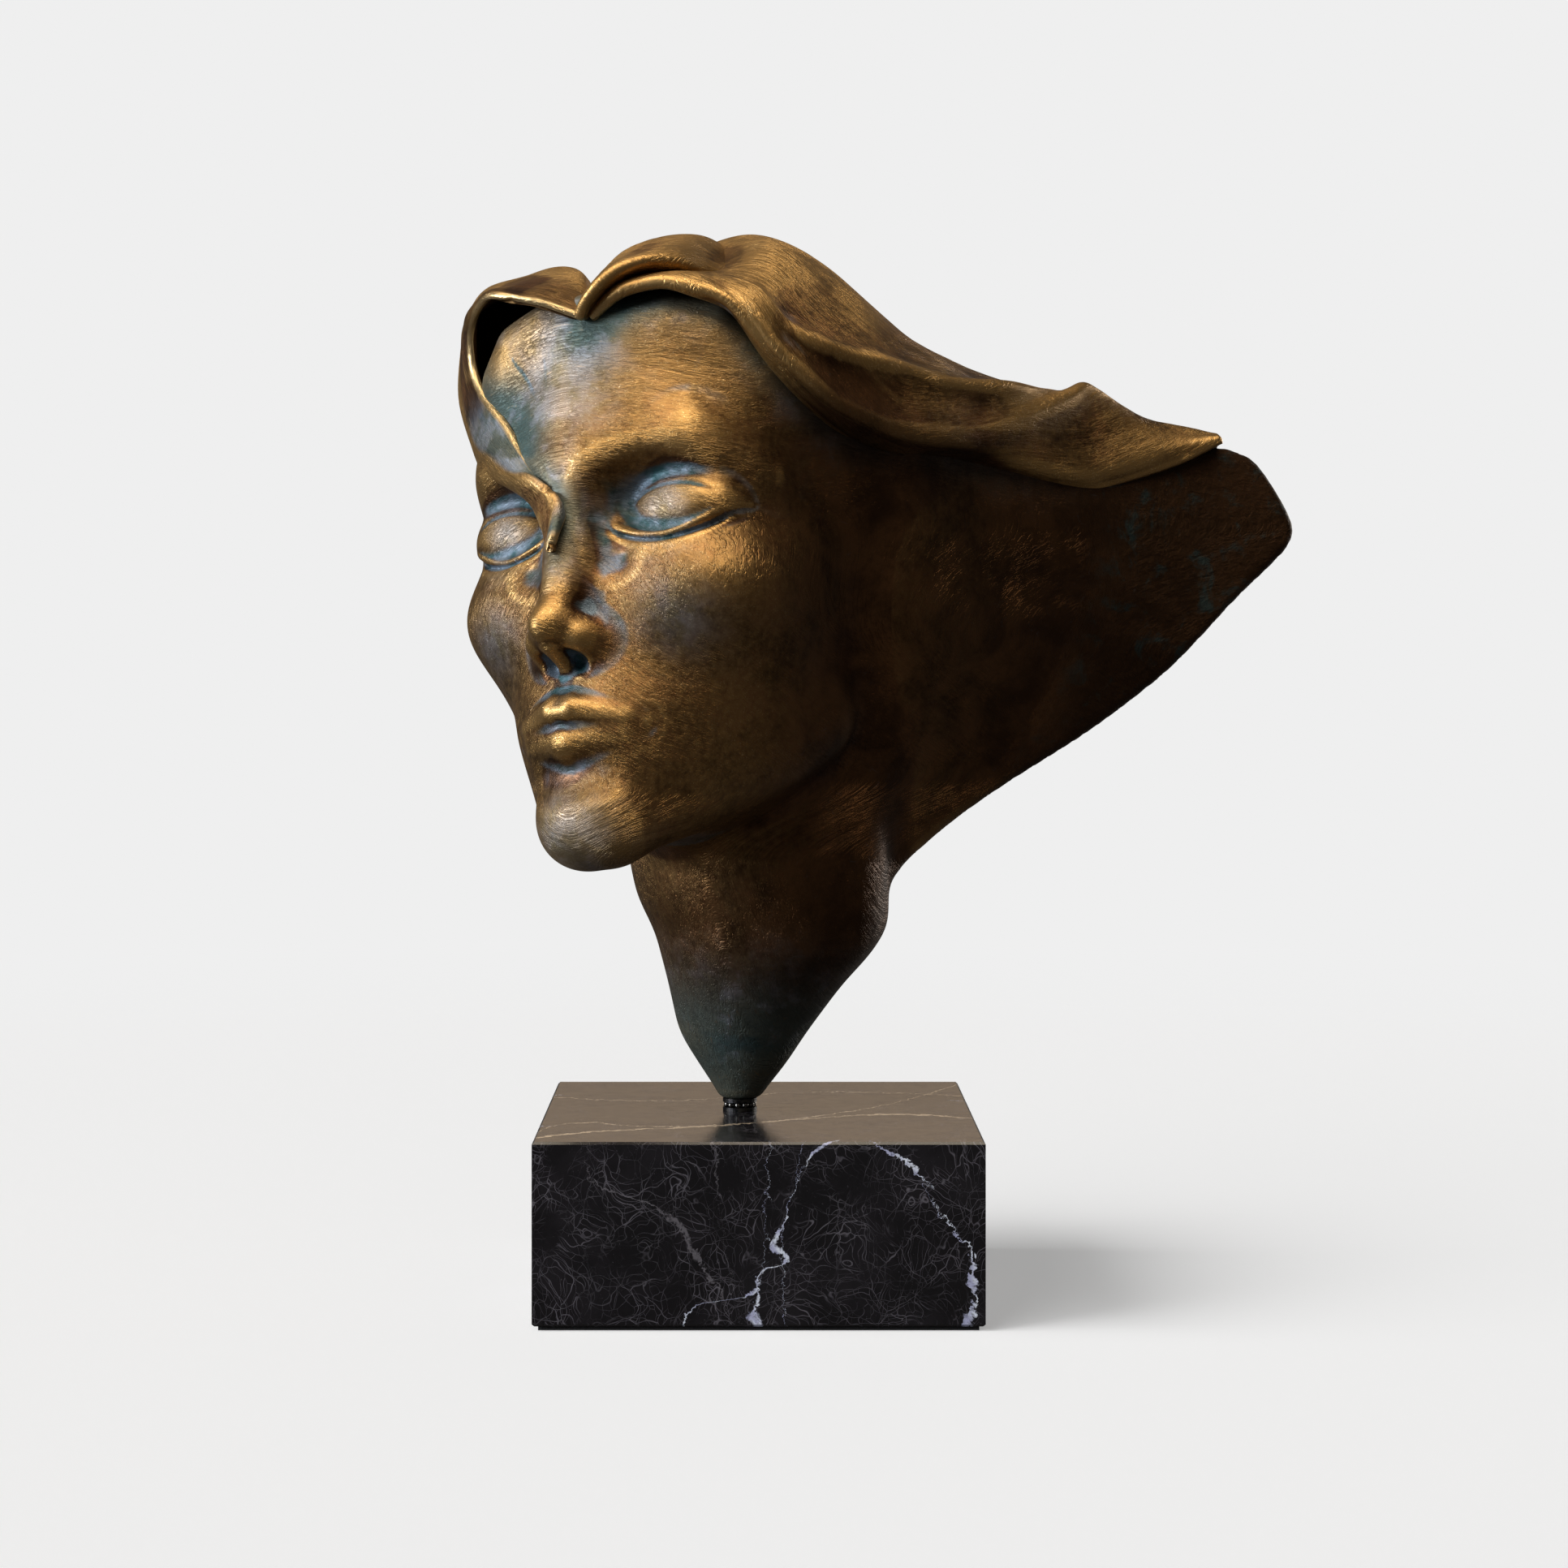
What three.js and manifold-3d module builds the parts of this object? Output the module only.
// A bronze head with wind-swept hair that turns on a small ball race, set on a black marble block.
// Millimetres, +Z up, and -Y is the front. The origin is the middle of the felt under the block.
import * as THREE from "three";
import { mergeVertices } from "three/addons/utils/BufferGeometryUtils.js";
import Module from "manifold-3d";

const wasm = await Module();
wasm.setup();

// ---- Driving dimensions ----
const BLOCK_WIDTH = 150;
const BLOCK_DEPTH = 150;
const BLOCK_HEIGHT = 61;
const BLOCK_EDGE = 0.8; // chamfer along the block's polished edges
const FELT_THICKNESS = 1.5;
const FELT_INSET = 2;
const GAP = 0.3; // between pieces that touch or are brazed together

const BLOCK_TOP = FELT_THICKNESS + BLOCK_HEIGHT;
const AXIS = new THREE.Vector2(-6.5, 0); // the swivel stands a little left of the block's middle

const STUD_RADIUS = 3; // M6
const STUD_CLEARANCE = 0.3;
const COUNTERBORE_RADIUS = 16;
const COUNTERBORE_DEPTH = 22;
const BUSH_RADIUS = 5;
const BUSH_FLANGE_RADIUS = 9;
const BUSH_FLANGE = 1.5;

const RACE_HEIGHT = 4.5; // the whole ball race, a 6 x 12 x 4.5 mm size
const RACE_RADIUS = 6;
const RACE_WASHER = 1.35;
const BALL_RADIUS = 1.2;
const BALL_CIRCLE = 4.6;
const BALL_COUNT = 11;
const FOOT_HEIGHT = BLOCK_TOP + RACE_HEIGHT; // where the bronze starts

const CAST_WALL = 5;
const SEAT_HEIGHT = 97; // floor of the hollow neck, which the top nut bears on
const NECK_TOP = 236; // inside the head
const CAST_TOP = 344; // hidden under the hair

const HEAD_CENTRE = new THREE.Vector3(-17, -2, 258); // midway between the eyes and the back, on the eye line
const HEAD_SCALE = 1.03; // 1 is a head 225 mm from crown to chin
const HEAD_YAW = 33; // degrees, turned to the viewer's left
const HEAD_PITCH = 7; // chin up
const HEAD_ROLL = 8; // leaning to its own right

// ---- Solids ----
const flat = (points) => Float32Array.from(points.flatMap((p) => [p.x, p.y, p.z]));

function geometryOf(points, triangles) {
  const geometry = new THREE.BufferGeometry();
  geometry.setAttribute("position", new THREE.BufferAttribute(flat(points), 3));
  geometry.setIndex(triangles);
  return geometry;
}

function solidOf(geometry) {
  const loose = geometry.index ? geometry.toNonIndexed() : geometry;
  const bare = new THREE.BufferGeometry();
  bare.setAttribute("position", loose.getAttribute("position"));
  const merged = mergeVertices(bare, 1e-4);
  const vertProperties = merged.attributes.position.array;
  const triVerts = new Uint32Array(merged.index.array);
  return new wasm.Manifold(new wasm.Mesh({ numProp: 3, vertProperties, triVerts }));
}

function geometryFrom(solid) {
  const { numProp, vertProperties, triVerts } = solid.getMesh();
  const points = [];
  for (let i = 0; i < vertProperties.length; i += numProp)
    points.push(new THREE.Vector3(...vertProperties.subarray(i, i + 3)));
  return geometryOf(points, [...triVerts]);
}

const largestBody = (solid) =>
  solid.decompose().reduce((most, body) => (body.volume() > most.volume() ? body : most));

// A closed skin between two grids of points with the same rows and columns.
function skinBetween(outer, inner) {
  const rows = outer.length;
  const columns = outer[0].length;
  const points = [...outer.flat(), ...inner.flat()];
  const out = (j, i) => j * columns + i;
  const into = (j, i) => rows * columns + j * columns + i;
  const triangles = [];
  const quad = (a, b, c, d) => triangles.push(a, b, c, a, c, d);
  for (let j = 0; j + 1 < rows; j++)
    for (let i = 0; i + 1 < columns; i++) {
      quad(out(j, i), out(j, i + 1), out(j + 1, i + 1), out(j + 1, i));
      quad(into(j, i), into(j + 1, i), into(j + 1, i + 1), into(j, i + 1));
    }
  for (let i = 0; i + 1 < columns; i++) {
    quad(into(0, i), into(0, i + 1), out(0, i + 1), out(0, i));
    quad(out(rows - 1, i), out(rows - 1, i + 1), into(rows - 1, i + 1), into(rows - 1, i));
  }
  for (let j = 0; j + 1 < rows; j++) {
    quad(out(j, 0), out(j + 1, 0), into(j + 1, 0), into(j, 0));
    quad(into(j, columns - 1), into(j + 1, columns - 1), out(j + 1, columns - 1), out(j, columns - 1));
  }
  const volume = triangles.reduce((sum, a, t) => {
    if (t % 3) return sum;
    const [p, q, r] = [points[a], points[triangles[t + 1]], points[triangles[t + 2]]];
    return sum + p.dot(q.clone().cross(r));
  }, 0);
  return geometryOf(points, volume > 0 ? triangles : triangles.reverse());
}

// A turned piece: its profile is [radius, height] pairs, closed on the axis or on itself.
function turned(profile, sides = 32) {
  const points = profile.map(([r, z]) => new THREE.Vector2(r, z));
  return new THREE.LatheGeometry(points, sides).rotateX(Math.PI / 2);
}

const ring = (inner, outer, low, high) => [
  [inner, low],
  [outer, low],
  [outer, high],
  [inner, high],
  [inner, low],
];
const disc = (radius, low, high) => [
  [0, low],
  [radius, low],
  [radius, high],
  [0, high],
];

// ---- The head's form, as a signed distance in its own frame ----
// x is towards its right, y forwards and z up, in units of HEAD_SCALE millimetres. The face is symmetric.
const smoothJoin = (a, b, k) => {
  const h = Math.max(k - Math.abs(a - b), 0) / k;
  return Math.min(a, b) - (h * h * k) / 4;
};
const smoothCut = (a, b, k) => -smoothJoin(-a, b, k);

function ellipsoid(p, [cx, cy, cz], [rx, ry, rz]) {
  const [x, y, z] = [p.x - cx, p.y - cy, p.z - cz];
  const near = Math.hypot(x / rx, y / ry, z / rz);
  return (near * (near - 1)) / Math.max(Math.hypot(x / rx ** 2, y / ry ** 2, z / rz ** 2), 1e-9);
}

function rod(p, a, b, ra, rb = ra) {
  const [dx, dy, dz] = [b[0] - a[0], b[1] - a[1], b[2] - a[2]];
  const along = (p.x - a[0]) * dx + (p.y - a[1]) * dy + (p.z - a[2]) * dz;
  const t = THREE.MathUtils.clamp(along / (dx * dx + dy * dy + dz * dz), 0, 1);
  const away = Math.hypot(p.x - a[0] - t * dx, p.y - a[1] - t * dy, p.z - a[2] - t * dz);
  return away - ra - t * (rb - ra);
}

function faceDistance({ x, y, z }) {
  const p = { x: Math.abs(x), y, z };
  let d = ellipsoid(p, [0, -8, 26], [71, 93, 80]); // skull
  d = smoothJoin(d, ellipsoid(p, [0, 26, -28], [58, 60, 72]), 18); // face
  d = smoothJoin(d, ellipsoid(p, [40, 53, -23], [21, 23, 16]), 16); // cheekbone
  d = smoothJoin(d, ellipsoid(p, [0, 62, -66], [34, 30, 30]), 12); // mouth's curve
  d = smoothJoin(d, rod(p, [8, 75, -96], [40, 8, -64], 15), 14); // jaw
  d = smoothJoin(d, ellipsoid(p, [0, 80, -97], [17, 15, 15]), 10); // chin
  d = smoothJoin(d, rod(p, [9, 79, 17], [40, 63, 22], 8.5), 12); // brow
  d = smoothCut(d, ellipsoid(p, [31, 84, 1], [19, 18, 14]), 9); // socket
  d = smoothJoin(d, ellipsoid(p, [31, 59.5, -1], [15, 14.5, 14.5]), 2.5); // closed eye
  d = smoothJoin(d, rod(p, [0, 76, 10], [0, 95, -33], 7, 8), 9); // nose
  d = smoothJoin(d, ellipsoid(p, [0, 97, -37], [9, 9.5, 8.5]), 5);
  d = smoothJoin(d, ellipsoid(p, [12.5, 86, -40], [6.5, 10, 7.5]), 4);
  d = smoothJoin(d, rod(p, [0, 90.5, -64], [22, 81, -68.5], 5.6, 2.5), 2.5); // upper lip
  d = smoothJoin(d, rod(p, [0, 89, -74.5], [21, 80.5, -70], 6.2, 2.5), 2.5); // lower lip
  d = smoothCut(d, rod(p, [0, 98, -84], [14, 93, -82], 5), 7); // hollow above the chin
  return smoothCut(d, ellipsoid(p, [74, 46, 18], [14, 26, 24]), 16); // temple
}

const headFrame = new THREE.Matrix4()
  .makeRotationFromEuler(
    new THREE.Euler(
      THREE.MathUtils.degToRad(HEAD_PITCH),
      THREE.MathUtils.degToRad(HEAD_ROLL),
      THREE.MathUtils.degToRad(180 - HEAD_YAW),
      "ZXY",
    ),
  )
  .scale(new THREE.Vector3().setScalar(HEAD_SCALE))
  .setPosition(HEAD_CENTRE);
// ---- The neck: its front and rear outlines as [x, z], and its half depth and middle as [y, z] ----
function outline(pairs) {
  const sampled = new THREE.SplineCurve(pairs.map(([x, z]) => new THREE.Vector2(x, z))).getPoints(60);
  return (z) => {
    const above = sampled.findIndex((p) => p.y >= z);
    if (above <= 0) return (above < 0 ? sampled.at(-1) : sampled[0]).x;
    const [a, b] = [sampled[above - 1], sampled[above]];
    return a.x + ((b.x - a.x) * (z - a.y)) / (b.y - a.y);
  };
}
const neckFront = outline([[-12.5, 66], [-21, 79], [-28.5, 90], [-33, 108], [-36.5, 125], [-43, 138], [-46, 152]]);
const neckRear = outline([[-0.5, 66], [10, 79], [17, 89], [30, 107], [40, 117.5], [46, 127], [46, 152]]);
const neckDepth = outline([[6, 66], [14, 80], [22, 95], [36, 120], [42, 152]]);
const neckMiddle = outline([[0, 66], [3, 95], [6, 152]]);

// ---- The face casting ----
// A closed body whose surface lies `inside` mm under the head's, found along rays from inside the mouth.
const RAYS_FROM = new THREE.Vector3(0, 30, -66);
function headSolid(inside, columns, rows) {
  const geometry = new THREE.SphereGeometry(1, columns, rows).rotateX(Math.PI / 2);
  const position = geometry.getAttribute("position");
  const way = new THREE.Vector3();
  for (let i = 0; i < position.count; i++) {
    way.fromBufferAttribute(position, i).normalize();
    let reach = 200;
    for (let step = 0; step < 80; step++) {
      const gap = faceDistance(way.clone().multiplyScalar(reach).add(RAYS_FROM)) + inside / HEAD_SCALE;
      if (gap < 0.02) break;
      reach -= gap * 0.75;
    }
    way.multiplyScalar(reach).add(RAYS_FROM);
    position.setXYZ(i, way.x, way.y, way.z);
  }
  return solidOf(geometry.applyMatrix4(headFrame));
}

function neckSolid(inside, low, high) {
  const sides = 28;
  const rings = 10;
  const tube = new THREE.CylinderGeometry(1, 1, 1, sides, rings).rotateX(Math.PI / 2);
  const position = tube.getAttribute("position");
  for (let i = 0; i < position.count; i++) {
    const z = THREE.MathUtils.lerp(low, high, position.getZ(i) + 0.5);
    const middle = (neckRear(z) + neckFront(z)) / 2;
    const half = neckRear(z) - middle - inside;
    const x = middle + position.getX(i) * half;
    position.setXYZ(i, x, neckMiddle(z) + position.getY(i) * (neckDepth(z) - inside), z);
  }
  return solidOf(tube);
}

// The back of the head is open, from behind the near ear round to the far one, and so is its crown.
function openBack(grow) {
  const wedge = new THREE.Shape();
  wedge.moveTo(-8, 8 + grow).lineTo(260, 8 + grow).lineTo(260, 260).lineTo(-260, 260).lineTo(-260, 155 + grow);
  const back = new THREE.ExtrudeGeometry(wedge, { depth: 300, bevelEnabled: false }).translate(0, 0, SEAT_HEIGHT);
  const crown = new THREE.BoxGeometry(400, 400, 100).translate(0, 0, CAST_TOP + 50 + grow);
  return solidOf(back).add(solidOf(crown));
}

function castShell(grow = 0) {
  const outside = headSolid(-grow, 46, 40).add(neckSolid(-grow, FOOT_HEIGHT, NECK_TOP));
  const hollow = headSolid(CAST_WALL + grow, 24, 20).add(neckSolid(CAST_WALL + grow, SEAT_HEIGHT, NECK_TOP + 2));
  return outside.subtract(hollow).subtract(openBack(grow));
}

const onAxis = (geometry) => geometry.translate(AXIS.x, AXIS.y, 0);

function faceCasting() {
  const bore = onAxis(turned(disc(STUD_RADIUS + STUD_CLEARANCE, FOOT_HEIGHT - 1, SEAT_HEIGHT + 1)));
  return largestBody(castShell().subtract(solidOf(bore)));
}

// ---- Hair: thin sheets lofted across guide curves that run with the flow of the hair ----
const HAIR = {
  // From the parting down the right temple, narrowing to a lock that ends between the brows.
  temple_lock: {
    wall: 3.5,
    across: 8,
    flow: 22,
    guides: [
      [[-60, -62, 338], [-76, -55, 341], [-94, -36, 344], [-98, -28, 329], [-93, -42, 310], [-80, -64, 290], [-66, -81, 271]],
      [[-60, -58, 342], [-78, -48, 347], [-97, -22, 346], [-102, -12, 329], [-97, -28, 305], [-86, -55, 285], [-68.5, -81, 268]],
      [[-58, -45, 350], [-77, -28, 353], [-97, 4, 346], [-103, 12, 326], [-101, -8, 302], [-90, -46, 282], [-71, -80, 265]],
      [[-50, -15, 358], [-70, 4, 352], [-88, 24, 340], [-95, 36, 318], [-97, 14, 298], [-90, -36, 278], [-73, -78, 262]],
    ],
  },
  // A rolled lock from the parting over the crown.
  crown_lock: {
    wall: 3.5,
    across: 7,
    flow: 14,
    guides: [
      [[-57, -66, 337], [-53, -69, 344], [-43, -68, 352], [-31, -64, 355], [-19, -58, 354], [-8, -52, 350]],
      [[-58, -63, 340], [-53, -62, 350], [-43, -58, 359], [-28, -52, 363], [-13, -46, 361], [0, -40, 355]],
      [[-58, -53, 345], [-51, -46, 355], [-38, -37, 364], [-21, -28, 369], [-5, -22, 369], [8, -16, 366]],
      [[-52, -30, 352], [-42, -18, 360], [-29, -8, 366], [-15, 2, 368], [0, 6, 367], [12, 8, 364]],
    ],
  },
  // The main sweep: from the parting back over the near temple to the tail.
  mantle: {
    wall: 4,
    across: 10,
    flow: 30,
    guides: [
      [[-57, -63, 337], [-37, -63, 345], [-3, -66, 335], [20, -69, 309], [45, -57, 290], [75, -33, 294], [107, -13, 281], [135, 4, 284], [164, 22, 296]],
      [[-53, -60, 343], [-33, -56, 350], [0, -56, 344], [29, -58, 322], [54, -47, 305], [81, -28, 304], [111, -9, 296], [138, 5, 293], [165, 23, 298]],
      [[-49, -45, 350], [-26, -36, 358], [4, -37, 354], [36, -37, 334], [62, -31, 319], [88, -18, 312], [115, -2, 308], [140, 10, 301], [166, 25, 300]],
      [[-46, -25, 354], [-18, -8, 365], [9, -5, 364], [43, -5, 342], [70, -6, 325], [93, -2, 317], [118, 8, 315], [143, 18, 305], [167, 28, 301]],
      [[-38, 6, 352], [-10, 26, 356], [18, 26, 350], [48, 20, 334], [73, 12, 319], [95, 10, 311], [119, 16, 308], [143, 23, 300], [167, 31, 298]],
      [[-24, 36, 332], [0, 50, 328], [24, 46, 324], [52, 32, 314], [75, 20, 306], [96, 16, 300], [119, 20, 298], [143, 26, 294], [166, 32, 294]],
    ],
  },
  // The smooth veil of hair behind the neck, running out to the tip.
  veil: {
    wall: 4,
    across: 12,
    flow: 16,
    guides: [
      [[45, 12, 141], [66, 15, 158], [96, 20, 179], [129, 27, 202], [161, 35, 232], [193, 42, 262]],
      [[38, -12, 176], [66, 6, 194], [100, 17, 213], [134, 26, 234], [164, 34, 255], [195, 41, 268]],
      [[36, -38, 225], [66, -8, 234], [100, 12, 245], [134, 21, 257], [165, 30, 269], [191, 38, 278]],
      [[40, -40, 262], [66, -16, 263], [101, 7, 262], [136, 18, 268], [163, 27, 281], [184, 35, 289]],
      [[42, -34, 296], [67, -16, 299], [103, 6, 295], [133, 18, 294], [157, 26, 297], [172, 33, 299]],
    ],
  },
};

function sheetPoint(curves, u, v) {
  const across = new THREE.CatmullRomCurve3(curves.map((curve) => curve.getPoint(u)), false, "catmullrom", 0.5);
  return across.getPoint(v);
}

function sheetSolid({ guides, wall, across, flow }, grow = 0) {
  const curves = guides.map(
    (guide) => new THREE.CatmullRomCurve3(guide.map((p) => new THREE.Vector3(...p)), false, "catmullrom", 0.5),
  );
  const step = 0.01;
  const faces = [[], []];
  for (let j = 0; j <= across; j++) {
    const lines = [[], []];
    for (let i = 0; i <= flow; i++) {
      const [u, v] = [i / flow, j / across];
      const at = sheetPoint(curves, u, v);
      const alongFlow = sheetPoint(curves, Math.min(u + step, 1), v).sub(sheetPoint(curves, Math.max(u - step, 0), v));
      const acrossFlow = sheetPoint(curves, u, Math.min(v + step, 1)).sub(sheetPoint(curves, u, Math.max(v - step, 0)));
      alongFlow.normalize();
      acrossFlow.normalize();
      const normal = alongFlow.clone().cross(acrossFlow).normalize();
      const edge = new THREE.Vector3();
      if (i === 0 || i === flow) edge.addScaledVector(alongFlow, i ? grow : -grow);
      if (j === 0 || j === across) edge.addScaledVector(acrossFlow, j ? grow : -grow);
      lines[0].push(at.clone().add(edge).addScaledVector(normal, wall / 2 + grow));
      lines[1].push(at.clone().add(edge).addScaledVector(normal, -wall / 2 - grow));
    }
    faces[0].push(lines[0]);
    faces[1].push(lines[1]);
  }
  return solidOf(skinBetween(faces[0], faces[1]));
}

// ---- Swivel and block ----
const hexagon = (acrossFlats, low, high) => {
  const shape = new THREE.Shape();
  for (let i = 0; i < 6; i++) {
    const angle = (i * Math.PI) / 3;
    const corner = acrossFlats / Math.sqrt(3);
    shape[i ? "lineTo" : "moveTo"](corner * Math.cos(angle), corner * Math.sin(angle));
  }
  shape.closePath();
  return new THREE.ExtrudeGeometry(shape, { depth: high - low, bevelEnabled: false }).translate(0, 0, low);
};

function nut(acrossFlats, low, high) {
  const body = solidOf(hexagon(acrossFlats, low, high));
  const crown = solidOf(
    turned([[0, low], [acrossFlats * 0.5, low], [acrossFlats * 0.58, low + 0.7], [acrossFlats * 0.58, high - 0.7],
      [acrossFlats * 0.5, high], [0, high]], 36),
  );
  const hole = solidOf(turned(disc(STUD_RADIUS + GAP, low - 1, high + 1), 36));
  return geometryFrom(body.intersect(crown).subtract(hole));
}

function raceWasher(low, grooveSide) {
  const high = low + RACE_WASHER;
  const ballHeight = BLOCK_TOP + RACE_HEIGHT / 2;
  const grooveRadius = BALL_RADIUS + 0.12;
  const face = grooveSide > 0 ? high : low;
  const half = Math.sqrt(grooveRadius ** 2 - (face - ballHeight) ** 2);
  const spread = Math.asin(half / grooveRadius);
  const groove = [];
  for (let i = 0; i <= 6; i++) {
    const angle = THREE.MathUtils.lerp(spread, -spread, i / 6);
    groove.push([BALL_CIRCLE + grooveRadius * Math.sin(angle), ballHeight - grooveSide * grooveRadius * Math.cos(angle)]);
  }
  const inner = STUD_RADIUS + GAP;
  const profile =
    grooveSide > 0
      ? [[inner, low], [RACE_RADIUS, low], [RACE_RADIUS, high], ...groove, [inner, high], [inner, low]]
      : [[inner, low], ...groove.reverse(), [RACE_RADIUS, low], [RACE_RADIUS, high], [inner, high], [inner, low]];
  return turned(profile, 44);
}

function marbleBlock() {
  const [w, d, c] = [BLOCK_WIDTH / 2, BLOCK_DEPTH / 2, BLOCK_EDGE];
  const outline = new THREE.Shape();
  outline.moveTo(-w + c, -d + c).lineTo(w - c, -d + c).lineTo(w - c, d - c).lineTo(-w + c, d - c).closePath();
  const body = new THREE.ExtrudeGeometry(outline, {
    depth: BLOCK_HEIGHT - 2 * c,
    bevelThickness: c,
    bevelSize: c,
    bevelSegments: 1,
  }).translate(0, 0, FELT_THICKNESS + c);
  const bore = onAxis(turned(disc(BUSH_RADIUS + GAP, 0, BLOCK_TOP + 1), 40));
  const counterbore = onAxis(turned(disc(COUNTERBORE_RADIUS, 0, FELT_THICKNESS + COUNTERBORE_DEPTH), 40));
  return geometryFrom(solidOf(body).subtract(solidOf(bore)).subtract(solidOf(counterbore)));
}

// ---- Finishes ----
const finish = (color, roughness, metalness) => new THREE.MeshStandardMaterial({ color, roughness, metalness });
const bronze = finish(0x5b4326, 0.42, 0.9);
const darkBronze = finish(0x33261a, 0.5, 0.85);
const marble = finish(0x16151a, 0.18, 0);
const steel = finish(0x8d9096, 0.35, 1);
const blackSteel = finish(0x1b1c1f, 0.2, 1);
const brass = finish(0xa8843f, 0.35, 1);
const nylon = finish(0xd9d6c8, 0.6, 0);
const felt = finish(0x1d1d1f, 0.95, 0);

const part = new THREE.Group();
const place = (name, geometry, material, parent = part) => {
  const mesh = new THREE.Mesh(geometry, material);
  mesh.name = name;
  parent.add(mesh);
  return mesh;
};

function addBlock() {
  const pad = new THREE.Shape();
  const [w, d] = [BLOCK_WIDTH / 2 - FELT_INSET, BLOCK_DEPTH / 2 - FELT_INSET];
  pad.moveTo(-w, -d).lineTo(w, -d).lineTo(w, d).lineTo(-w, d).closePath();
  const sheet = new THREE.ExtrudeGeometry(pad, { depth: FELT_THICKNESS - 0.05, bevelEnabled: false });
  place("felt_pad", sheet, felt);
  place("marble_block", marbleBlock(), marble);
}

// The stack on the stud, from the nut under the block up to the nut inside the neck.
function addSwivel() {
  const swivel = new THREE.Group();
  swivel.position.set(AXIS.x, AXIS.y, 0);
  part.add(swivel);
  const ceiling = FELT_THICKNESS + COUNTERBORE_DEPTH;
  const hole = STUD_RADIUS + STUD_CLEARANCE;
  const flangeLow = ceiling - GAP - BUSH_FLANGE;
  place(
    "bush",
    turned([[hole, flangeLow], [BUSH_FLANGE_RADIUS, flangeLow], [BUSH_FLANGE_RADIUS, flangeLow + BUSH_FLANGE],
      [BUSH_RADIUS, flangeLow + BUSH_FLANGE], [BUSH_RADIUS, BLOCK_TOP - 0.4], [hole, BLOCK_TOP - 0.4], [hole, flangeLow]], 40),
    brass, swivel,
  );
  const washerLow = flangeLow - 0.1 - 1.6;
  place("thrust_washer", turned(ring(hole, 8, washerLow, washerLow + 1.6), 36), steel, swivel);
  // Two disc springs, small ends together, keep a light drag on the swivel.
  const springWall = 0.7;
  const springRise = 0.6;
  const spring = (low, way) => {
    const lift = (z) => (way > 0 ? z : -z);
    const profile = [[hole, lift(springRise)], [6.25, 0], [6.25, lift(springWall)], [hole, lift(springRise + springWall)],
      [hole, lift(springRise)]];
    const made = turned(way > 0 ? profile : profile.reverse(), 36);
    return made.translate(0, 0, low);
  };
  const springHeight = springRise + springWall;
  place("disc_spring_upper", spring(washerLow - 0.05, -1), steel, swivel);
  place("disc_spring_lower", spring(washerLow - 0.1 - 2 * springHeight, 1), steel, swivel);
  const nutHigh = washerLow - 0.15 - 2 * springHeight;
  const nutLow = nutHigh - 5;
  place("lock_nut", nut(10, nutLow, nutHigh), steel, swivel);
  place("nylon_ring", turned(ring(hole, 4.6, nutLow - 1.6, nutLow - 0.05), 32), nylon, swivel);
  const studLow = nutLow - 4;
  const studHigh = SEAT_HEIGHT + 1.6 + 5 + 3;
  place(
    "stud",
    turned([[0, studLow], [STUD_RADIUS - 0.6, studLow], [STUD_RADIUS, studLow + 0.6], [STUD_RADIUS, studHigh - 0.6],
      [STUD_RADIUS - 0.6, studHigh], [0, studHigh]], 32),
    steel, swivel,
  );
  place("race_lower", raceWasher(BLOCK_TOP + 0.02, 1), blackSteel, swivel);
  place("race_upper", raceWasher(FOOT_HEIGHT - RACE_WASHER - 0.02, -1), blackSteel, swivel);
  for (let i = 0; i < BALL_COUNT; i++) {
    const angle = (2 * Math.PI * i) / BALL_COUNT;
    const ball = new THREE.SphereGeometry(BALL_RADIUS, 12, 8);
    const mesh = place(`ball_${String(i + 1).padStart(2, "0")}`, ball, blackSteel, swivel);
    mesh.position.set(BALL_CIRCLE * Math.cos(angle), BALL_CIRCLE * Math.sin(angle), BLOCK_TOP + RACE_HEIGHT / 2);
  }
  place("neck_washer", turned(ring(hole, 6.25, SEAT_HEIGHT + 0.05, SEAT_HEIGHT + 1.6), 32), steel, swivel);
  place("neck_nut", nut(10, SEAT_HEIGHT + 1.65, SEAT_HEIGHT + 6.65), steel, swivel);
}

// Each sheet of hair is trimmed where it meets the face or an earlier sheet, leaving the brazing gap.
function addBronze() {
  place("face_casting", geometryFrom(faceCasting()), bronze);
  let taken = castShell(GAP);
  for (const [name, sheet] of Object.entries(HAIR)) {
    place(name, geometryFrom(largestBody(sheetSolid(sheet).subtract(taken))), name === "veil" ? darkBronze : bronze);
    taken = taken.add(sheetSolid(sheet, GAP));
  }
}

addBlock();
addSwivel();
addBronze();

export default part;
